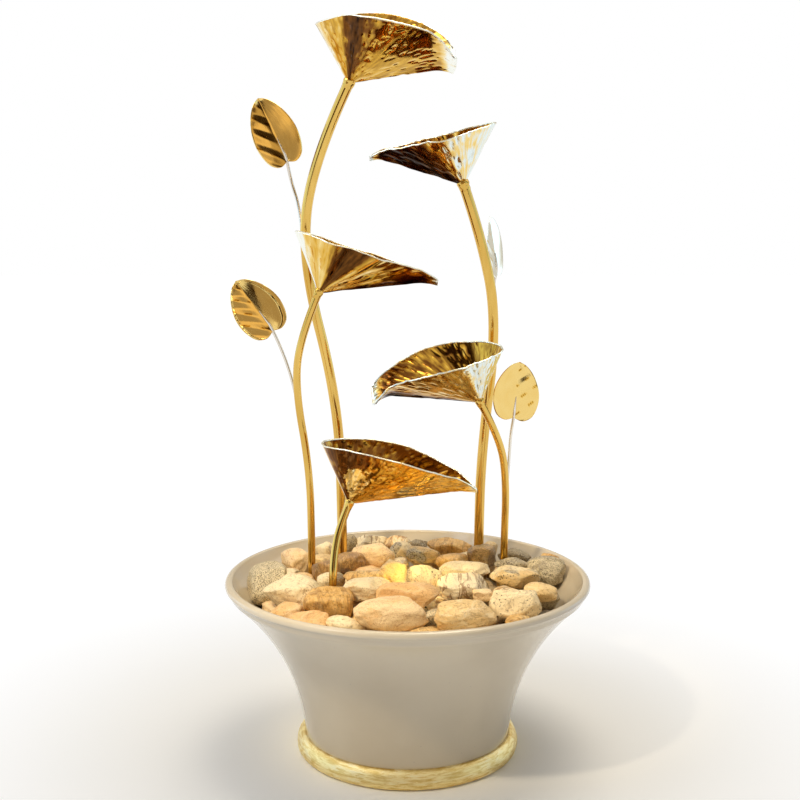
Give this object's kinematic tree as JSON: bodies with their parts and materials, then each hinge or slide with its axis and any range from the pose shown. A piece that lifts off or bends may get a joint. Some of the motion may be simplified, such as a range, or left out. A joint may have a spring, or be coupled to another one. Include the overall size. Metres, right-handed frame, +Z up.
{
  "type": "tabletop water fountain",
  "caption": "Tabletop fountain: bent brass stems carry folded leaf cups that pour one into the next above a flared glazed bowl of river pebbles, with a pump beneath.",
  "frame": {"origin": "on the table, on the bowl's axis, at the flat bottom of its foot", "axes": "+Z up along the bowl's axis, the viewer's side is -Y, the top cup pours towards +X"},
  "size_m": [0.3302, 0.3302, 0.6667],
  "materials": {
    "glazed_ceramic": "glossy off-white glaze",
    "gilding": "brushed gold leaf",
    "stainless": "brushed",
    "black_rubber": "matt",
    "socket_brass": "turned",
    "clear_hose": "milky silicone",
    "white_plastic": "moulded",
    "black_plastic": "moulded",
    "grey_plastic": "moulded",
    "magnet": "sintered",
    "shaft_ceramic": "polished ceramic",
    "copper": "enamelled copper wire",
    "clear_rubber": "soft vinyl",
    "clear_glass": "clear",
    "led_yellow": "phosphor",
    "stem_brass": "polished tube",
    "hammered_brass": "polished, hammered",
    "pale_brass": "polished, hammered, pale",
    "twig_brass": "drawn rod",
    "leaf_brass": "polished sheet",
    "cream_stone": "tumbled stone",
    "tan_stone": "tumbled stone",
    "peach_stone": "tumbled stone",
    "brown_stone": "tumbled stone",
    "grey_stone": "tumbled stone",
    "spotted_stone": "tumbled stone",
    "banded_stone": "tumbled stone",
    "under_stone": "tumbled stone"
  },
  "bodies": {
    "base": {"banded_pebbles": "banded_stone", "bowl": "glazed_ceramic", "brown_pebbles": "brown_stone", "chamber_cover": "black_plastic", "cream_pebbles": "cream_stone", "deck_edge_trim": "black_rubber", "deck_legs": "stainless", "deck_plate": "stainless", "deck_screws": "stainless", "foot_ring": "gilding", "grey_pebbles": "grey_stone", "hose_clips": "white_plastic", "inlet_elbow": "socket_brass", "lamp_board": "white_plastic", "lamp_body": "black_plastic", "lamp_gland": "black_rubber", "lamp_leds": "led_yellow", "lamp_lens": "clear_glass", "leg_feet": "black_rubber", "peach_pebbles": "peach_stone", "potting_cap": "black_plastic", "pump_body": "black_plastic", "pump_cable_gland": "black_rubber", "pump_outlet": "black_plastic", "rotor_shaft": "shaft_ceramic", "set_screws": "stainless", "shaft_bushes": "black_rubber", "spotted_pebbles": "spotted_stone", "stator_coil": "copper", "stator_core": "stainless", "stem_sockets": "socket_brass", "suction_cups": "clear_rubber", "supply_hose": "clear_hose", "tan_pebbles": "tan_stone", "under_pebbles": "under_stone"},
    "top_stem_body": {"top_stem": "stem_brass", "top_cup": "hammered_brass", "top_twig": "twig_brass", "top_small_leaf": "leaf_brass"},
    "upper_right_stem_body": {"upper_right_stem": "stem_brass", "upper_right_cup": "pale_brass", "upper_right_twig": "twig_brass", "upper_right_small_leaf": "pale_brass"},
    "left_stem_body": {"left_stem": "stem_brass", "left_cup": "hammered_brass", "left_twig": "twig_brass", "left_small_leaf": "leaf_brass"},
    "right_stem_body": {"right_stem": "stem_brass", "right_cup": "hammered_brass", "right_twig": "twig_brass", "right_small_leaf": "leaf_brass"},
    "front_stem_body": {"front_stem": "stem_brass", "front_cup": "hammered_brass"},
    "rotor": {"impeller": "white_plastic", "rotor_magnet": "magnet"},
    "front_cover": {"pump_cover": "black_plastic"},
    "dial": {"flow_dial": "grey_plastic"}
  },
  "joints": [
    {"name": "top_stem_swivel", "type": "hinge", "parent": "base", "child": "top_stem_body", "pos_m": [-0.063, 0.08, 0.13], "axis": [0, 0, 1], "range_deg": [-8, 1]},
    {"name": "upper_right_stem_swivel", "type": "hinge", "parent": "base", "child": "upper_right_stem_body", "pos_m": [0.07, 0.079, 0.13], "axis": [0, 0, 1], "range_deg": [-8, 8]},
    {"name": "left_stem_swivel", "type": "hinge", "parent": "base", "child": "left_stem_body", "pos_m": [-0.09, 0.038, 0.13], "axis": [0, 0, 1], "range_deg": [-8, 3]},
    {"name": "right_stem_swivel", "type": "hinge", "parent": "base", "child": "right_stem_body", "pos_m": [0.0925, 0.053, 0.13], "axis": [0, 0, 1], "range_deg": [-8, 8]},
    {"name": "front_stem_swivel", "type": "hinge", "parent": "base", "child": "front_stem_body", "pos_m": [-0.067, -0.03, 0.13], "axis": [0, 0, 1], "range_deg": [-8, 8]},
    {"name": "impeller_spin", "type": "hinge", "parent": "base", "child": "rotor", "pos_m": [0, 0, 0.037], "axis": [0, -1, 0], "continuous": true},
    {"name": "pump_cover_pull", "type": "slide", "parent": "base", "child": "front_cover", "axis": [0, -1, 0], "range_m": [0, 0.02]},
    {"name": "flow_dial_turn", "type": "hinge", "parent": "front_cover", "child": "dial", "pos_m": [0, -0.0343, 0.04], "axis": [0, -1, 0], "range_deg": [0, 45]}
  ]
}
